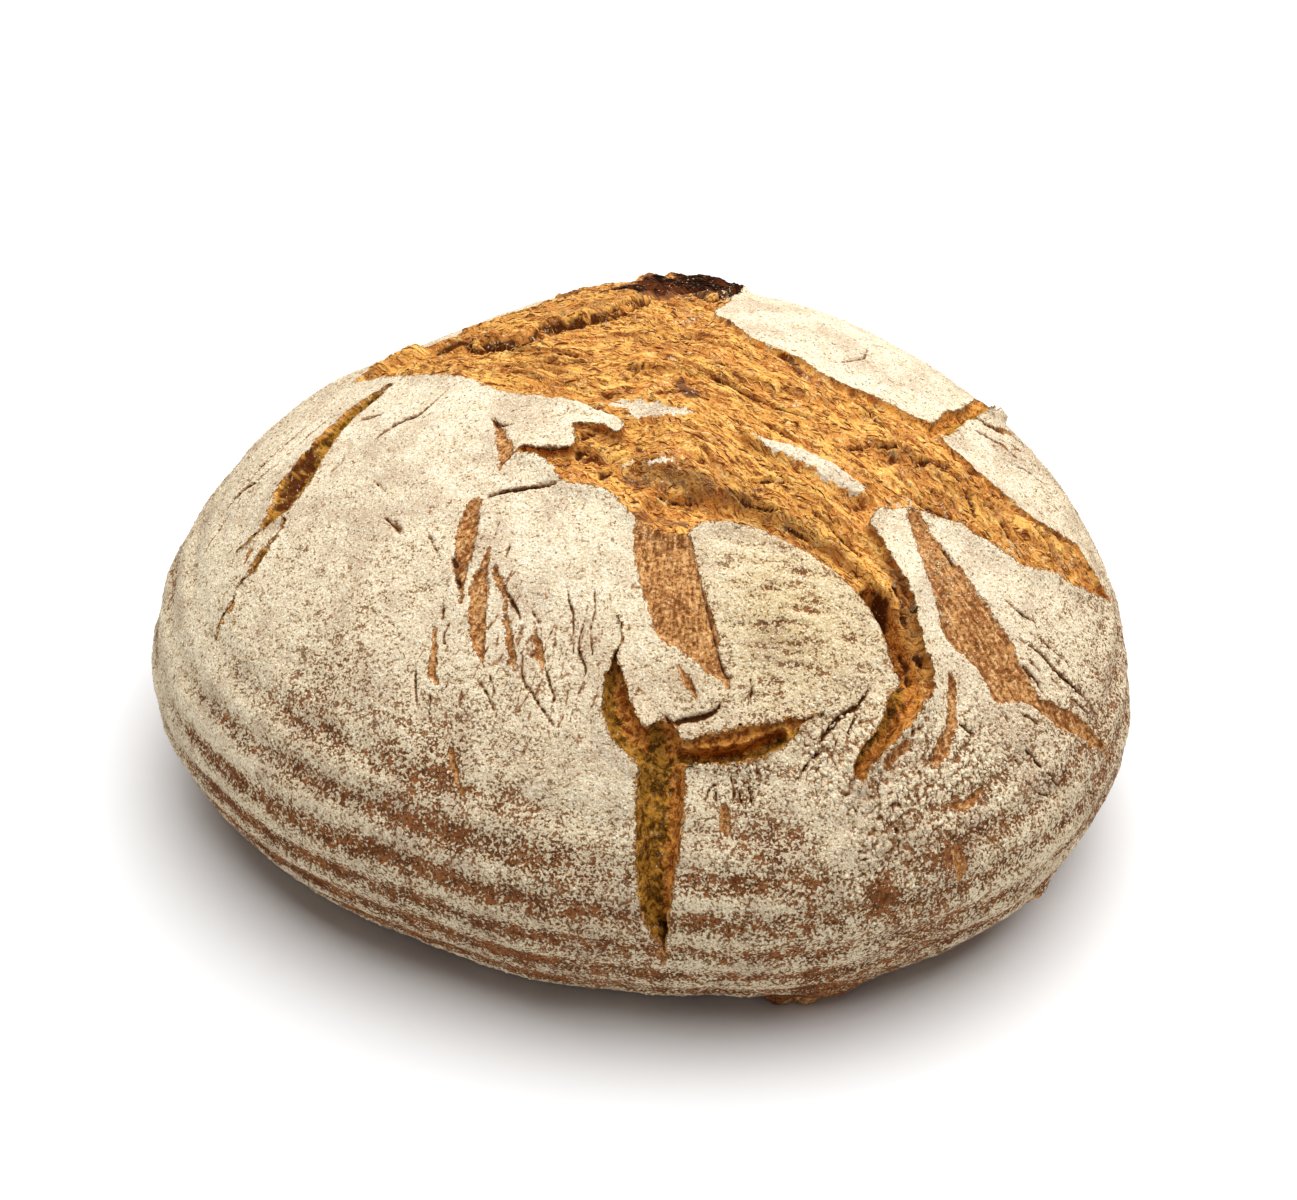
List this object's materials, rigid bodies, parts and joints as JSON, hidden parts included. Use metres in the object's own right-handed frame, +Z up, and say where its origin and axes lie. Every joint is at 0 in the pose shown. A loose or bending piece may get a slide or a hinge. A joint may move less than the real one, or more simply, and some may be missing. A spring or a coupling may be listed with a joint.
{
  "type": "crusty bread loaf",
  "caption": "Round domed hearth loaf, floured with basket rings on its flanks, its crown torn open in ragged golden crust, with splits down the front and a flat base.",
  "frame": {"origin": "on the resting surface, under the middle of the loaf's box", "axes": "+Z up, +X along the loaf's longest width, +Y to the back, away from the side with the front split"},
  "size_m": [0.283, 0.244, 0.128],
  "materials": {
    "floured_crust": null,
    "torn_crust": null
  },
  "bodies": {
    "root": {"loaf": "floured_crust"}
  },
  "joints": []
}
